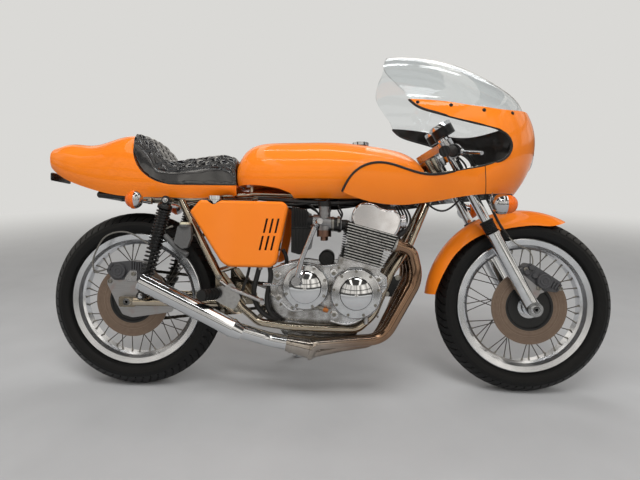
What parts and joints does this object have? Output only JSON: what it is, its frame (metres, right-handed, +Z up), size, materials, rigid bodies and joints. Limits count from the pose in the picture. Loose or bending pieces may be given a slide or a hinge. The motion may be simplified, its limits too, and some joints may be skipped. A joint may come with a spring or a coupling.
{
  "type": "cafe racer motorcycle",
  "caption": "Air-cooled road motorcycle with half fairing, bubble screen, long tank, humped solo seat and wire wheels, leaning on its side stand.",
  "frame": {"origin": "on the ground under the middle of the bounding box of the leaned motorcycle", "axes": "+X forward along the wheels' line, +Y to the rider's left, +Z up from the ground"},
  "size_m": [2.0949, 0.6753, 1.2152],
  "materials": {
    "orange_paint": "gloss orange paint",
    "nickel_plate": "bright nickel plate",
    "chrome_plate": "mirror chrome",
    "polished_alloy": "polished aluminium",
    "cast_alloy": "satin cast aluminium",
    "black_fins": "satin black",
    "tinted_steel": "heat-tinted steel",
    "disc_steel": "surface-rusted steel",
    "dark_steel": "oiled steel",
    "tyre_rubber": "matte black",
    "black_plastic": "matte black",
    "seat_vinyl": "gloss black vinyl",
    "clear_screen": "clear acrylic",
    "red_lens": "red lens",
    "amber_lens": "amber lens",
    "lamp_glass": "clear glass"
  },
  "bodies": {
    "chassis": {"frame": "nickel_plate", "swingarm": "nickel_plate", "rear_shocks": "black_plastic", "crankcase": "cast_alloy", "cylinder_block": "black_fins", "cylinder_head": "cast_alloy", "cam_cover": "polished_alloy", "engine_covers": "chrome_plate", "carburettors": "cast_alloy", "airbox": "black_plastic", "exhaust_headers": "tinted_steel", "silencer": "chrome_plate", "kick_starter": "chrome_plate", "drive_chain": "dark_steel", "fuel_tank": "orange_paint", "filler_caps": "chrome_plate", "seat_cowl": "orange_paint", "seat_pad": "seat_vinyl", "oil_tank": "orange_paint", "left_side_cover": "orange_paint", "fairing": "orange_paint", "windscreen": "clear_screen", "headlamp": "lamp_glass", "tail_light": "red_lens", "turn_signals": "amber_lens", "footrests": "polished_alloy", "rear_caliper": "cast_alloy", "master_cylinder": "cast_alloy", "rear_axle": "chrome_plate"},
    "steering": {"fork_yokes": "polished_alloy", "fork_legs": "polished_alloy", "front_fender": "orange_paint", "handlebars": "chrome_plate", "instruments": "black_plastic", "front_caliper": "black_plastic", "front_axle": "chrome_plate"},
    "front_wheel": {"front_tyre": "tyre_rubber", "front_rim": "polished_alloy", "front_spokes": "chrome_plate", "front_hub": "polished_alloy", "front_disc": "disc_steel"},
    "rear_wheel": {"rear_tyre": "tyre_rubber", "rear_rim": "polished_alloy", "rear_spokes": "chrome_plate", "rear_hub": "polished_alloy", "rear_sprocket": "dark_steel", "rear_disc": "disc_steel"},
    "stand": {"side_stand": "chrome_plate"}
  },
  "joints": [
    {"name": "steering_pivot", "type": "hinge", "parent": "chassis", "child": "steering", "pos_m": [0.40756, -0.00871, 0.77236], "axis": [-0.4772, 0.1526, 0.8655], "range_deg": [-20, 20]},
    {"name": "front_wheel_axle", "type": "hinge", "parent": "steering", "child": "front_wheel", "pos_m": [0.7275, -0.0892, 0.3159], "axis": [0, 0.9848, -0.1736], "continuous": true},
    {"name": "rear_wheel_axle", "type": "hinge", "parent": "chassis", "child": "rear_wheel", "pos_m": [-0.7175, -0.08833, 0.32082], "axis": [0, 0.9848, -0.1736], "continuous": true},
    {"name": "side_stand_pivot", "type": "hinge", "parent": "chassis", "child": "stand", "pos_m": [-0.1975, 0.05899, 0.23494], "axis": [-0.1888, -0.9367, -0.2948], "range_deg": [-109, 0]}
  ]
}
